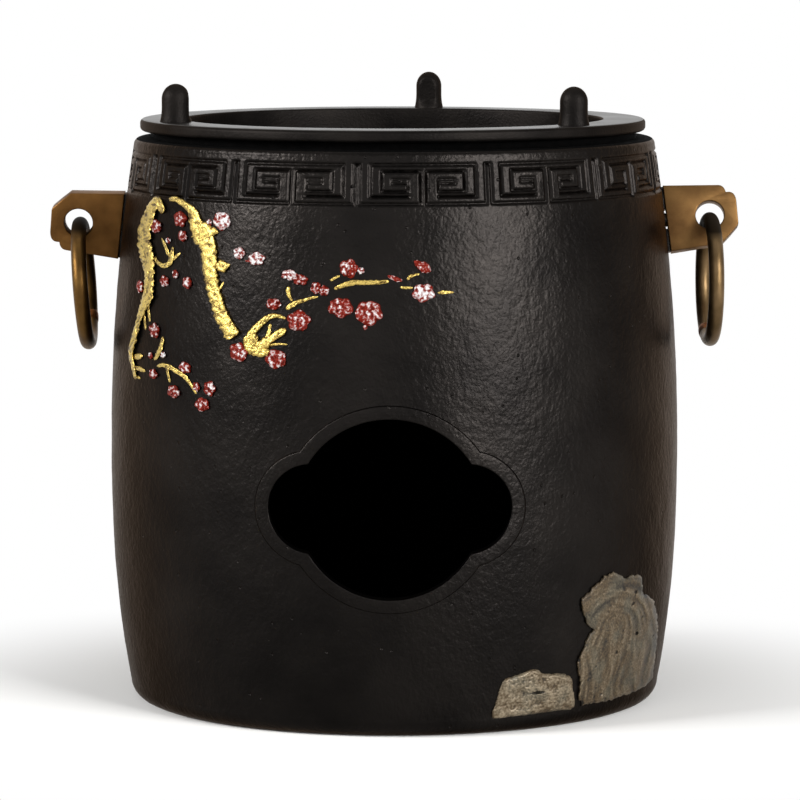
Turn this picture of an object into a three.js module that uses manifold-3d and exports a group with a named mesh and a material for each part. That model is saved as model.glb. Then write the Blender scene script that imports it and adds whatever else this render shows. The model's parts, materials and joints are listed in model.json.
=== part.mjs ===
// Charcoal tea stove: a cast-iron barrel with a cusped air door, a loose pot ring with three lugs,
// a slotted charcoal grate on an inner shelf, and two brass ears that carry hanging ring handles.
// Millimetres, +Z up. The origin is the centre of the foot, on the surface that the stove stands on.
// The air door faces -Y.
import * as THREE from 'three';
import { mergeVertices } from 'three/addons/utils/BufferGeometryUtils.js';
import Module from 'manifold-3d';

const wasm = await Module();
wasm.setup();

// Clearances
const fitGap = 0.3;            // between a seated piece and what carries it
const grateSeatGap = 0.6;      // radial, round the grate on its shelf
const spigotGap = 0.9;         // radial, round the pot ring's spigot
const grateLiftGap = 1.5;      // radial, as the grate comes out through the pot ring
const wireGap = 2.1;           // radial, round the ring's wire in the ear's hole
const shelfOverDoor = 2.7;     // from the top of the air door to the underside of the shelf

// Barrel, cast iron
const barrelRadius = 90;       // at its widest
const widestHeight = 80;
const rimHeight = 179.8;       // of the land that the pot ring sits on
const rimStep = 1.9;           // how much lower the shoulder is than the land
const rimLandWidth = 3;
const rimWidth = 9;            // from the shoulder to the mouth
const upperCurve = 600;        // radius of the long upper curve
const lowerDraw = 7;           // how far the barrel draws in towards the foot
const lowerPower = 2.4;        // the draw is gentle at first and quick near the foot
const footRound = 5.6;
const footWidth = 11;          // flat ring that the stove rests on
const footRecess = 2.5;
const floorThickness = 6;
const floorRound = 9;
const wall = 5;
const shoulderRound = 2;
const mouthDepth = 5.7;
const mouthTaper = 7;          // height of the slope under the mouth's inner edge
const rimChamfer = 0.8;

// Inner shelf, cast with the barrel
const shelfLedge = 5;          // what the grate rests on
const shelfThickness = 3;
const shelfDraft = 2.5;        // how much lower the underside is at the wall
const grateSeatDepth = 3.3;

// Air door with four cusped lobes and a raised flat lip
const doorHeight = 54.8;
const doorWidth = 73.6;
const doorSill = 43;           // height of its lowest point
const doorTopLobe = 28.7;      // lobe radii
const doorSideLobe = 13.6;
const lipWidth = 4.1;
const lipProud = 0.7;

// Pot ring, cast iron
const potRingInset = 2.5;      // from the barrel's shoulder to the ring's edge
const potRingThickness = 3.75;
const potRingEdge = 1.3;
const potRingShift = -0.5;     // along X, as it lies in its clearance
const spigotDepth = 5.5;
const spigotWall = 6.1;
const lugInset = 5.7;          // from the bore to the lug's axis
const lugHeight = 11.8;
const lugRadius = 4.15;
const lugStretch = 1.06;       // radial length over width
const lugFlare = 0.55;
const lugFlareHeight = 4.5;
const lugDome = 4.7;           // height of the rounded end
const lugFlat = 3.5;           // from the lug's axis to its flat inner side
const lugAngles = [81.4, 201.4, 321.4];

// Charcoal grate, cast iron
const grateThickness = 5;
const slotWidth = 6;
const grateHole = 3.2;         // radius of the centre hole
const grateHub = 12;           // radius where the slots begin
const grateBridge = 7;         // between the rows of slots
const grateRim = 7;
const slotCounts = [8, 16];    // of the inner and the outer row

// Ears, brass plates
const earOverhang = 14.3;      // from the barrel's wall to the hole's centre
const earDrops = { right: 27, left: 28.8 };    // from the rim to the hole's centre
const earTilt = 5;             // degrees, tips up
const earRolls = { right: -15.5, left: 10.5 };   // degrees about the tenon
const earThickness = 4.8;
const earBevel = 0.35;
const earRoot = 10.7;          // half height at the wall
const earNeck = 9.4;           // half height where the end's corners begin
const earNeckReach = 3;        // from the hole's centre to where they begin
const earCuspDrop = 2.5;       // from the neck to the cusp
const earCuspReach = 1.2;      // from the hole's edge to the cusp
const earTipWall = 4.3;        // metal outside the hole
const earTipHalf = 3.8;        // half height of the straight tip
const earStandOff = 0.75;      // from the plate to the wall
const earLandThickness = 3.6;  // of the cast lands that the plate sits against
const earLandStart = 3.2;      // from the tenon's axis
const earLandShort = 0.3;      // how much shorter they are than the plate
const tenonRadius = 2.3;       // a little under half the plate's thickness
const tenonHoleGap = 0.35;     // radial
const washerRadius = 5.5;
const washerThickness = 1;
const nutAcrossFlats = 8;
const nutThickness = 3.2;
const tenonTail = 1.2;         // past the nut
const spotFaceDepth = 0.5;

// Ring handles, brass wire
const ringRadius = 18.8;       // of the wire's centre line
const ringWire = 2.4;          // radius
const ringRestGap = 0.35;      // above the lower edge of the ear's hole
const ringTurns = { right: 3.9, left: 0.7 };   // degrees about the vertical
const ringLeans = { right: 0, left: 4 };       // degrees towards the barrel

// Facets
const roundSides = 66;
const smallSides = 20;

// Places that follow from the sizes above
const shoulderHeight = rimHeight - rimStep;
const mouthRadius = outerRadius(shoulderHeight - shoulderRound) - rimWidth;
const potRingRadius = outerRadius(shoulderHeight - shoulderRound) - potRingInset;
const potRingBore = mouthRadius - spigotGap - spigotWall;
const grateRadius = potRingBore - grateLiftGap;
const doorCentreHeight = doorSill + doorHeight / 2;
const shelfHeight = doorSill + doorHeight + shelfOverDoor + shelfDraft + shelfThickness;
const earHole = ringWire + wireGap;
const slotRows = slotCounts.map((count, row) => {
  const length = (grateRadius - grateHub - grateBridge - grateRim) / slotCounts.length;
  const from = grateHub + row * (length + grateBridge);
  return { count, from, to: from + length };
});

const degrees = THREE.MathUtils.degToRad;

function outerRadius(height) {
  if (height >= widestHeight) {
    return barrelRadius - (height - widestHeight) ** 2 / (2 * upperCurve);
  }
  const share = (widestHeight - height) / widestHeight;
  return barrelRadius - lowerDraw * share ** lowerPower;
}

function innerRadius(height) {
  return outerRadius(height) - wall;
}

// Turns a closed geometry into a solid that can be cut and joined.
function toSolid(geometry, matrix = new THREE.Matrix4()) {
  const bare = geometry.clone();
  bare.deleteAttribute('normal');
  bare.deleteAttribute('uv');
  bare.applyMatrix4(matrix);
  const merged = mergeVertices(bare, 1e-4);
  const index = merged.index.array;
  const corners = [];
  for (let i = 0; i < index.length; i += 3) {
    const [a, b, c] = index.slice(i, i + 3);
    if (a !== b && b !== c && c !== a) corners.push(a, b, c);
  }
  if (signedVolume(merged.attributes.position, corners) < 0) corners.reverse();
  return new wasm.Manifold(new wasm.Mesh({
    numProp: 3,
    vertProperties: new Float32Array(merged.attributes.position.array),
    triVerts: new Uint32Array(corners),
  }));
}

function signedVolume(position, corners) {
  const [a, b, c] = [new THREE.Vector3(), new THREE.Vector3(), new THREE.Vector3()];
  let total = 0;
  for (let i = 0; i < corners.length; i += 3) {
    a.fromBufferAttribute(position, corners[i]);
    b.fromBufferAttribute(position, corners[i + 1]);
    c.fromBufferAttribute(position, corners[i + 2]);
    total += a.dot(b.cross(c)) / 6;
  }
  return total;
}

function toGeometry(solid) {
  const mesh = solid.getMesh();
  const geometry = new THREE.BufferGeometry();
  geometry.setAttribute('position', new THREE.BufferAttribute(mesh.vertProperties, mesh.numProp));
  geometry.setIndex(new THREE.BufferAttribute(mesh.triVerts, 1));
  return geometry;
}

// A solid of revolution about Z from [radius, height] points.
function revolve(points, sides = roundSides) {
  const lathe = new THREE.LatheGeometry(points.map(([r, z]) => new THREE.Vector2(r, z)), sides);
  return lathe.rotateX(Math.PI / 2);
}

// A round bar along +X, from one x to another.
function barAlongX(radius, from, to, sides = smallSides) {
  const bar = new THREE.CylinderGeometry(radius, radius, to - from, sides);
  return bar.rotateZ(-Math.PI / 2).translate((from + to) / 2, 0, 0);
}

// A quarter arc of [radius, height] points in a profile.
function profileArc(centreR, centreZ, radius, fromDegrees, toDegrees, steps) {
  return Array.from({ length: steps + 1 }, (_, i) => {
    const angle = degrees(fromDegrees + (toDegrees - fromDegrees) * i / steps);
    return [centreR + radius * Math.cos(angle), centreZ + radius * Math.sin(angle)];
  });
}

// Points that follow a wall between two heights.
function followWall(radiusAt, from, to, steps) {
  return Array.from({ length: steps + 1 }, (_, i) => {
    const height = from + (to - from) * i / steps;
    return [radiusAt(height), height];
  });
}

function barrelProfile() {
  const footCentre = outerRadius(footRound) - footRound;
  const roundFrom = shoulderHeight - shoulderRound;
  const shoulderCentre = outerRadius(roundFrom) - shoulderRound;
  const landRadius = mouthRadius + rimLandWidth;
  const floorTop = footRecess + floorThickness;
  const floorCentre = innerRadius(floorTop + floorRound) - floorRound;
  const taperHeight = rimHeight - mouthDepth - mouthTaper;
  const seatRadius = grateRadius + grateSeatGap;
  const shelfRadius = grateRadius - shelfLedge;
  const stepTop = shelfHeight + grateSeatDepth;
  const shelfUnderside = shelfHeight - shelfThickness;
  const shelfUndersideAtWall = shelfUnderside - shelfDraft;
  return [
    [0, footRecess],
    [footCentre - footWidth - footRecess, footRecess],
    [footCentre - footWidth, 0],
    ...profileArc(footCentre, footRound, footRound, -90, 0, 4),
    ...followWall(outerRadius, footRound, roundFrom, 12).slice(1, -1),
    ...profileArc(shoulderCentre, roundFrom, shoulderRound, 0, 90, 4),
    [landRadius, shoulderHeight],
    [landRadius, rimHeight],
    [mouthRadius + rimChamfer, rimHeight],
    [mouthRadius, rimHeight - rimChamfer],
    [mouthRadius, rimHeight - mouthDepth],
    ...followWall(innerRadius, taperHeight, stepTop, 4),
    [seatRadius, stepTop],
    [seatRadius, shelfHeight],
    [shelfRadius, shelfHeight],
    [shelfRadius, shelfUnderside],
    ...followWall(innerRadius, shelfUndersideAtWall, floorTop + floorRound, 5).slice(0, -1),
    ...profileArc(floorCentre, floorTop + floorRound, floorRound, 0, -90, 3),
    [0, floorTop],
  ];
}

// The door's outline, or the lip's when grown: four arcs that meet in cusps.
function cuspedOutline(grow) {
  const topRadius = doorTopLobe + grow;
  const sideRadius = doorSideLobe + grow;
  const topCentre = doorHeight / 2 - doorTopLobe;
  const sideCentre = doorWidth / 2 - doorSideLobe;
  const cusp = circlesMeet(0, topCentre, topRadius, sideCentre, 0, sideRadius);
  const topAngle = Math.atan2(cusp.y - topCentre, cusp.x);
  const sideAngle = Math.atan2(cusp.y, cusp.x - sideCentre);
  const outline = new THREE.Shape();
  outline.absarc(sideCentre, 0, sideRadius, -sideAngle, sideAngle);
  outline.absarc(0, topCentre, topRadius, topAngle, Math.PI - topAngle);
  outline.absarc(-sideCentre, 0, sideRadius, Math.PI - sideAngle, Math.PI + sideAngle);
  outline.absarc(0, -topCentre, topRadius, Math.PI + topAngle, 2 * Math.PI - topAngle);
  return outline;
}

// The upper right point where two circles meet.
function circlesMeet(x0, y0, r0, x1, y1, r1) {
  const span = Math.hypot(x1 - x0, y1 - y0);
  const along = (r0 ** 2 - r1 ** 2 + span ** 2) / (2 * span);
  const across = Math.sqrt(r0 ** 2 - along ** 2);
  const ux = (x1 - x0) / span;
  const uy = (y1 - y0) / span;
  return { x: x0 + along * ux - across * uy, y: y0 + along * uy + across * ux };
}

// A door outline pushed through the front wall along Y.
function throughFront(outline) {
  const depth = barrelRadius;
  const bar = new THREE.ExtrudeGeometry(outline, { depth, bevelEnabled: false, curveSegments: 9 });
  return bar.rotateX(Math.PI / 2).translate(0, -barrelRadius / 3, doorCentreHeight);
}

// A thin sleeve round the barrel, proud of it, from which the lip is cut.
function lipSleeve() {
  const reach = doorHeight / 2 + 2 * lipWidth;
  const from = doorCentreHeight - reach;
  const to = doorCentreHeight + reach;
  const outside = followWall(height => outerRadius(height) + lipProud, from, to, 8);
  const inside = followWall(height => outerRadius(height) - wall / 2, to, from, 8);
  return revolve([...outside, ...inside, outside[0]]);
}

function earHeight(side) {
  return rimHeight - earDrops[side];
}

function earReach(side) {
  return outerRadius(earHeight(side)) + earOverhang;
}

// An ear's own frame has its origin in the hole's centre, +X along the plate away from the barrel.
function earFrame(side) {
  const turn = new THREE.Matrix4().makeRotationZ(side === 'right' ? 0 : Math.PI);
  const place = new THREE.Matrix4().makeTranslation(earReach(side), 0, earHeight(side));
  const tilt = new THREE.Matrix4().makeRotationY(-degrees(earTilt));
  return turn.multiply(place).multiply(tilt).multiply(earRoll(side));
}

// An ear is turned a little about its tenon. The left one faces the other way, so its roll is
// reversed in its own frame.
function earRoll(side) {
  const facing = side === 'right' ? 1 : -1;
  return new THREE.Matrix4().makeRotationX(facing * degrees(earRolls[side]));
}

// Distances along an ear's own X axis, worked out from the wall behind it.
function earStations(side) {
  const slope = Math.cos(degrees(earTilt));
  const wallOutside = -earOverhang / slope;
  const wallInside = wallOutside - wall / slope;
  const spotFace = wallInside - spotFaceDepth;
  const washer = spotFace - fitGap;
  const nut = washer - washerThickness - fitGap;
  return {
    root: wallOutside + earStandOff,
    wallOutside,
    lean: Math.tan(Math.atan((earHeight(side) - widestHeight) / upperCurve) - degrees(earTilt)),
    spotFace,
    washer,
    nut,
    tail: nut - nutThickness - tenonTail,
  };
}

function makeBarrel() {
  let barrel = toSolid(revolve(barrelProfile()));
  const lip = toSolid(lipSleeve()).intersect(toSolid(throughFront(cuspedOutline(lipWidth))));
  barrel = barrel.add(lip).subtract(toSolid(throughFront(cuspedOutline(0))));
  for (const side of ['left', 'right']) {
    const at = earStations(side);
    const frame = earFrame(side);
    for (const end of [-1, 1]) barrel = barrel.add(toSolid(earLand(at, end), frame));
    const hole = barAlongX(tenonRadius + tenonHoleGap, at.tail, at.root);
    const spot = barAlongX(washerRadius + 1, at.tail, at.spotFace);
    barrel = barrel.subtract(toSolid(hole, frame)).subtract(toSolid(spot, frame));
  }
  return toGeometry(barrel);
}

// A cast land on the wall, above or below an ear's tenon, that the plate sits against.
function earLand(at, end) {
  const near = earLandStart;
  const far = earRoot - earLandShort;
  const face = at.root - fitGap;
  const outline = new THREE.Shape();
  outline.moveTo(at.wallOutside - wall / 2, end * near);
  outline.lineTo(face - at.lean * end * near, end * near);
  outline.lineTo(face - at.lean * end * far, end * far);
  outline.lineTo(at.wallOutside - wall / 2, end * far);
  const land = new THREE.ExtrudeGeometry(outline, { depth: earLandThickness, bevelEnabled: false });
  return land.translate(0, 0, -earLandThickness / 2).rotateX(Math.PI / 2);
}

function makePotRing() {
  const bottom = rimHeight + fitGap;
  const top = bottom + potRingThickness;
  const spigotRadius = mouthRadius - spigotGap;
  const lugPitch = potRingBore + lugInset;
  const edgeCentre = potRingRadius - potRingEdge;
  const edges = [
    ...profileArc(edgeCentre, bottom + potRingEdge, potRingEdge, -90, 0, 4),
    ...profileArc(edgeCentre, top - potRingEdge, potRingEdge, 0, 90, 4),
  ];
  const points = [
    [potRingBore, bottom - spigotDepth],
    [spigotRadius - rimChamfer, bottom - spigotDepth],
    [spigotRadius, bottom - spigotDepth + rimChamfer],
    [spigotRadius, bottom],
    ...edges,
    [potRingBore + rimChamfer, top],
    [potRingBore, top - rimChamfer],
    [potRingBore, bottom - spigotDepth],
  ];
  let ring = toSolid(revolve(points));
  for (const angle of lugAngles) {
    const spin = new THREE.Matrix4().makeRotationZ(degrees(angle));
    const place = new THREE.Matrix4().makeTranslation(lugPitch, 0, top);
    ring = ring.add(toSolid(makeLug(), spin.multiply(place)));
  }
  return toGeometry(ring);
}

// A bullet-shaped lug with a flared foot and a flat on its inner side.
function makeLug() {
  const sunk = potRingThickness / 2;
  const dome = profileArc(0, 0, 1, 0, 75, 5);
  const bullet = revolve([
    [0, -sunk],
    [lugRadius + lugFlare, -sunk],
    [lugRadius + lugFlare, 0],
    [lugRadius + lugFlare / 3, lugFlareHeight / 3],
    [lugRadius, lugFlareHeight],
    ...dome.map(([across, up]) => [lugRadius * across, lugHeight - lugDome + lugDome * up]),
    [0, lugHeight],
  ], smallSides);
  bullet.scale(lugStretch, 1, 1);
  const cutter = new THREE.BoxGeometry(2 * lugRadius, 4 * lugRadius, lugHeight);
  cutter.translate(-lugFlat - lugRadius, 0, (lugHeight + lugFlareHeight) / 2);
  return toGeometry(toSolid(bullet).subtract(toSolid(cutter)));
}

// A slot with round ends along the radius at an angle.
function gratePath(from, to, angle) {
  const half = slotWidth / 2;
  const path = new THREE.Path();
  const place = radius => [radius * Math.cos(angle), radius * Math.sin(angle)];
  path.absarc(...place(to - half), half, angle - Math.PI / 2, angle + Math.PI / 2);
  path.absarc(...place(from + half), half, angle + Math.PI / 2, angle + 3 * Math.PI / 2);
  return path;
}

// A full circle drawn as equal arcs, so that a large one gets more facets than a small one.
function arcsAround(path, radius, count) {
  const step = 2 * Math.PI / count;
  for (let i = 0; i < count; i += 1) path.absarc(0, 0, radius, i * step, (i + 1) * step);
  return path;
}

function makeGrate() {
  const disc = new THREE.Shape();
  arcsAround(disc, grateRadius, 10);
  disc.holes.push(arcsAround(new THREE.Path(), grateHole, 3));
  for (const row of slotRows) {
    for (let i = 0; i < row.count; i += 1) {
      disc.holes.push(gratePath(row.from, row.to, 2 * Math.PI * (i + 0.5) / row.count));
    }
  }
  const settings = { depth: grateThickness, bevelEnabled: false, curveSegments: 3 };
  return toGeometry(toSolid(new THREE.ExtrudeGeometry(disc, settings)));
}

// The plate's outline: straight edges from the wall, a cusped round corner and a cusped flat one.
// Both ears are one casting, turned over: the flat corner is below on the right and above on the left.
function earOutline(at, side) {
  const roundEnd = side === 'right' ? 1 : -1;
  const tip = earHole + earTipWall;
  const cusp = { x: earHole + earCuspReach, y: earNeck - earCuspDrop };
  const flatBeyondCusp = 0.7;
  const bend = 0.4;
  const outline = new THREE.Shape();
  outline.moveTo(at.root + roundEnd * at.lean * earRoot, -roundEnd * earRoot);
  outline.lineTo(earNeckReach, -roundEnd * earNeck);
  outline.lineTo(cusp.x, -roundEnd * cusp.y);
  outline.lineTo(tip - bend, -roundEnd * (earTipHalf + bend));
  outline.lineTo(tip, -roundEnd * (earTipHalf - bend));
  outline.lineTo(tip, roundEnd * earTipHalf);
  outline.quadraticCurveTo(tip - bend / 2, roundEnd * cusp.y, cusp.x + flatBeyondCusp, roundEnd * cusp.y);
  outline.lineTo(cusp.x, roundEnd * cusp.y);
  outline.quadraticCurveTo(cusp.x - bend, roundEnd * earNeck, earNeckReach, roundEnd * earNeck);
  outline.lineTo(at.root - roundEnd * at.lean * earRoot, roundEnd * earRoot);
  const hole = new THREE.Path();
  hole.absarc(0, 0, earHole, 0, 2 * Math.PI);
  outline.holes.push(hole);
  return outline;
}

// The ear is one casting: a plate and a threaded tenon.
function makeEar(side) {
  const at = earStations(side);
  const plate = new THREE.ExtrudeGeometry(earOutline(at, side), {
    depth: earThickness - 2 * earBevel,
    bevelThickness: earBevel,
    bevelSize: earBevel,
    bevelOffset: -earBevel,
    bevelSegments: 1,
    curveSegments: 8,
  });
  plate.translate(0, 0, earBevel - earThickness / 2).rotateX(Math.PI / 2);
  const tenon = barAlongX(tenonRadius, at.tail, at.root + tenonRadius);
  return toGeometry(toSolid(plate).add(toSolid(tenon)));
}

// A flat ring or nut on the tenon, from its outer face towards the barrel's axis.
function makeTenonRing(outerRing, sides, face, thickness) {
  const outline = new THREE.Shape();
  for (let i = 0; i < sides; i += 1) {
    const angle = 2 * Math.PI * (i + 0.5) / sides;
    const point = [outerRing * Math.cos(angle), outerRing * Math.sin(angle)];
    if (i === 0) outline.moveTo(...point);
    else outline.lineTo(...point);
  }
  const hole = new THREE.Path();
  hole.absarc(0, 0, tenonRadius + tenonHoleGap, 0, 2 * Math.PI);
  outline.holes.push(hole);
  const settings = { depth: thickness, bevelEnabled: false, curveSegments: 8 };
  return new THREE.ExtrudeGeometry(outline, settings).rotateY(-Math.PI / 2).translate(face, 0, 0);
}

function makeRing() {
  return new THREE.TorusGeometry(ringRadius, ringWire, 10, 36).rotateY(Math.PI / 2);
}

const castIron = { color: 0x2b2826, roughness: 0.62, metalness: 0.35 };
const agedBrass = { color: 0x75552f, roughness: 0.38, metalness: 1 };
const brassWire = { color: 0x6a5030, roughness: 0.33, metalness: 1 };

function addMesh(group, name, geometry, finish) {
  const bare = geometry.clone();
  bare.deleteAttribute('normal');
  bare.deleteAttribute('uv');
  const merged = mergeVertices(bare, 1e-4);
  merged.computeVertexNormals();
  const mesh = new THREE.Mesh(merged, new THREE.MeshStandardMaterial(finish));
  mesh.name = name;
  group.add(mesh);
  return mesh;
}

const stove = new THREE.Group();
addMesh(stove, 'stove_body', makeBarrel(), castIron);
addMesh(stove, 'pot_ring', makePotRing(), castIron).position.x = potRingShift;
addMesh(stove, 'charcoal_grate', makeGrate(), castIron).position.z = shelfHeight + fitGap;

for (const side of ['left', 'right']) {
  const at = earStations(side);
  const ear = new THREE.Group();
  ear.applyMatrix4(earFrame(side));
  addMesh(ear, `${side}_ear`, makeEar(side), agedBrass);
  const washer = makeTenonRing(washerRadius, smallSides, at.washer, washerThickness);
  addMesh(ear, `${side}_ear_washer`, washer, agedBrass);
  const nutCorner = nutAcrossFlats / Math.sqrt(3);
  const nut = makeTenonRing(nutCorner, 6, at.nut, nutThickness);
  addMesh(ear, `${side}_ear_nut`, nut, agedBrass);
  stove.add(ear);

  // The ring hangs over the higher edge of the ear's hole. It swings about the wire there.
  const hang = new THREE.Group();
  const edge = new THREE.Vector3(0, Math.sign(earRolls[side]) * earThickness / 2, -earHole);
  edge.applyAxisAngle(new THREE.Vector3(1, 0, 0), degrees(earRolls[side]));
  const outward = side === 'right' ? 1 : -1;
  const hinge = earHeight(side) + edge.z + ringWire + ringRestGap;
  hang.position.set(outward * earReach(side), edge.y, hinge);
  hang.rotation.set(0, outward * degrees(ringLeans[side]), degrees(ringTurns[side]), 'ZYX');
  addMesh(hang, `${side}_ring`, makeRing(), brassWire).position.z = -ringRadius;
  stove.add(hang);
}

export default stove;
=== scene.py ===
# Charcoal tea stove: the looks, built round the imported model.
# Sizes are in millimetres and turned to metres where points are handed over. The stove stands on
# z = 0, its air door faces -Y and its ears lie along X.
from collections import defaultdict
import functools
import json
import math
import random

import bmesh
import bpy
import numpy as np
from mathutils import Matrix, Vector, noise

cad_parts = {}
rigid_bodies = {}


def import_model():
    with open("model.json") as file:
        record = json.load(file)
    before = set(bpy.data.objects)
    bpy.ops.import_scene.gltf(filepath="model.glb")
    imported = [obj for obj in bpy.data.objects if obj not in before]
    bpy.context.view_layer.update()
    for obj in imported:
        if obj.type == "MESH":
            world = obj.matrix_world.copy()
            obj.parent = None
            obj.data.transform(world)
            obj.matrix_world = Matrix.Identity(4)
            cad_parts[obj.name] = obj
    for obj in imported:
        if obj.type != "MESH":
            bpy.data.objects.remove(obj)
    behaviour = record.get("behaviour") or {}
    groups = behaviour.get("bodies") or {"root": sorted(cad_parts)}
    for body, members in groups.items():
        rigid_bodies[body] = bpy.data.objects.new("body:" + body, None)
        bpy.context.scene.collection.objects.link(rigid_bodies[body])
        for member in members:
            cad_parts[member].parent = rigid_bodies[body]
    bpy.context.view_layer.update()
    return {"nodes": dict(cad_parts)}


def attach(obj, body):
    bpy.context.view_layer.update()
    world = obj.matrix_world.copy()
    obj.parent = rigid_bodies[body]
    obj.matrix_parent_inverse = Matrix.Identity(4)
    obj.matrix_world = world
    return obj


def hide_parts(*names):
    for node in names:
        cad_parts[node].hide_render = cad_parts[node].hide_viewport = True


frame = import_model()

MM = 0.001


# Camera
# A long lens one and a half metres in front of the stove, a little above the pot ring and looking
# slightly down, so that the far side of the ring just shows.
scene = bpy.context.scene
camera_place = Vector((24.3, -1499.8, 256.7)) * MM
camera_pitch = math.radians(6.19)
camera_turn = math.radians(0.86)
camera = bpy.data.objects.new("camera", bpy.data.cameras.new("camera"))
camera.location = camera_place
camera.rotation_euler = (math.pi / 2 - camera_pitch, 0, camera_turn)
camera.data.lens = 213.18
camera.data.clip_start = 0.05
camera.data.clip_end = 20
scene.collection.objects.link(camera)
scene.camera = camera
scene.view_settings.view_transform = "Standard"


# Studio floor and light
# A pale sweep of matt board that runs out to white, and four large diffused lamps. The board is
# lit at a plain level and keeps the soft shadow under the stove.
def linear(hex_colour):
    """An sRGB hex colour as linear red, green, blue and alpha."""
    shares = [int(hex_colour[i:i + 2], 16) / 255 for i in (0, 2, 4)]
    return [s / 12.92 if s <= 0.04045 else ((s + 0.055) / 1.055) ** 2.4 for s in shares] + [1]


def add_node(tree, kind, inputs=None, stops=None, **settings):
    """Adds a shader node with its settings. An input takes a value, a node or a node's output."""
    node = tree.nodes.new("ShaderNode" + kind)
    for name, value in settings.items():
        setattr(node, name, value)
    for place, colour in stops or []:
        first = node.color_ramp.elements[0]
        stop = first if place == stops[0][0] else node.color_ramp.elements.new(place)
        stop.position = place
        stop.color = linear(colour)
    if stops:
        node.color_ramp.elements.remove(node.color_ramp.elements[-1])
    for socket, value in (inputs or {}).items():
        if isinstance(value, bpy.types.Node):
            value = value.outputs[0]
        if isinstance(value, bpy.types.NodeSocket):
            tree.links.new(value, node.inputs[socket])
        else:
            node.inputs[socket].default_value = value
    return node


def start_material(name):
    """A node material, the function that adds nodes to it, and the place on the object."""
    material = bpy.data.materials.new(name)
    material.use_nodes = True
    material.node_tree.nodes.clear()
    add = functools.partial(add_node, material.node_tree)
    return material, add, add("TexCoord").outputs["Object"]


floor_radius = 3.0
floor_gap = 0.2 * MM
# Where the board runs out to white, in metres: as the camera sees it, and as it shows in a sheen.
seen_fade = (0.09, 0.21)
mirrored_fade = (0.7, 1.6)
board, add, place = start_material("matt_white_board")
far = add("VectorMath", {0: place}, operation="LENGTH").outputs["Value"]
path = add("LightPath").outputs
shiny = add("Math", {0: path["Is Glossy Ray"], 1: path["Is Transmission Ray"]}, operation="MAXIMUM")
glows = []
for seen, (start, end) in ((path["Is Camera Ray"], seen_fade), (shiny, mirrored_fade)):
    fade = add("MapRange", {0: far, 1: start, 2: end}, interpolation_type="SMOOTHSTEP")
    glows.append(add("Math", {0: fade, 1: seen}, operation="MULTIPLY"))
glow = add("Math", {0: glows[0], 1: glows[1]}, operation="ADD")
matt = add("BsdfDiffuse", {"Color": linear("fbfaf8"), "Roughness": 1.0})
white = add("Emission", {"Color": linear("ffffff"), "Strength": 1.0})
mix = add("MixShader", {0: glow, 1: matt, 2: white})
add("OutputMaterial", {"Surface": mix})

sweep = bmesh.new()
bmesh.ops.create_circle(sweep, cap_ends=True, segments=96, radius=floor_radius)
floor_mesh = bpy.data.meshes.new("floor")
sweep.to_mesh(floor_mesh)
sweep.free()
floor_mesh.materials.append(board)
floor = bpy.data.objects.new("floor", floor_mesh)
floor.location.z = -floor_gap
scene.collection.objects.link(floor)

# The room is white behind the stove and dimmer in front of it. Seen directly it is white all round.
room_level = 0.2
front_level = 0.45
world = bpy.data.worlds.new("studio")
scene.world = world
world.use_nodes = True
world.node_tree.nodes.clear()
add = functools.partial(add_node, world.node_tree)
path = add("LightPath").outputs
toward = add("SeparateXYZ", {0: add("TexCoord").outputs["Generated"]}).outputs["Y"]
mirrored = add("MapRange", {0: toward, 1: 0.4, 2: 0.9, 3: front_level, 4: 1.0})
shiny = add("Math", {0: path["Is Glossy Ray"], 1: path["Is Transmission Ray"]}, operation="MAXIMUM")
indirect = add("Mix", {0: shiny, 2: room_level, 3: mirrored})
level = add("Mix", {0: path["Is Camera Ray"], 2: indirect, 3: 1.0})
sky = add("Background", {"Color": linear("ffffff"), "Strength": level})
add("OutputWorld", {"Surface": sky})

# Each lamp's place, width and height in metres, and its watts.
lamps = {
    "key_softbox": ((1.3, -1.44, 0.58), 0.95, 0.9, 26.5),
    "left_softbox": ((-1.69, -0.75, 0.85), 0.85, 0.5, 28),
    "front_card": ((-0.35, -1.9, 0.6), 1.2, 0.9, 2),
    "overhead_softbox": ((0.0, 0.3, 1.8), 1.2, 1.2, 3),
}
aim = Vector((0, 0, 0.1))
for name, (place, wide, tall, watts) in lamps.items():
    light = bpy.data.lights.new(name, "AREA")
    light.shape = "RECTANGLE"
    light.size, light.size_y, light.energy = wide, tall, watts
    lamp = bpy.data.objects.new(name, light)
    lamp.location = place
    lamp.rotation_euler = (aim - lamp.location).to_track_quat("-Z", "Y").to_euler()
    scene.collection.objects.link(lamp)


# Barrel
# One sand-cast iron pot with a foot ring, a floor, an inner shelf for the grate and a mouth that
# the pot ring sits on. The grain that the sand leaves is blacked and oiled.
barrel_radius = 90
widest_height = 80
rim_height = 179.8
rim_step = 1.9
land_width = 3
upper_curve = 600
lower_draw = 7
lower_power = 2.4
wall = 5
foot_round = 5.6
foot_width = 11
foot_recess = 2.5
floor_top = 8.5
floor_round = 9
shoulder_round = 2
mouth_radius = 73.34
mouth_depth = 5.7
mouth_taper = 7
rim_chamfer = 0.8
shelf_height = 106
shelf_radius = 59.84
shelf_thickness = 3
shelf_draft = 2.5
seat_radius = 65.44
seat_depth = 3.3
band_bottom = 160.6
band_top = 175.9
band_rebate = 0.9
barrel_sides = 720
centre_radius = 2


def outer_radius(height):
    """The barrel's outer radius: a long arc above its widest height, a gentle draw below it."""
    above = barrel_radius - (height - widest_height) ** 2 / (2 * upper_curve)
    share = np.clip((widest_height - height) / widest_height, 0, 1)
    below = barrel_radius - lower_draw * share ** lower_power
    return np.where(height >= widest_height, above, below)


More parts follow.
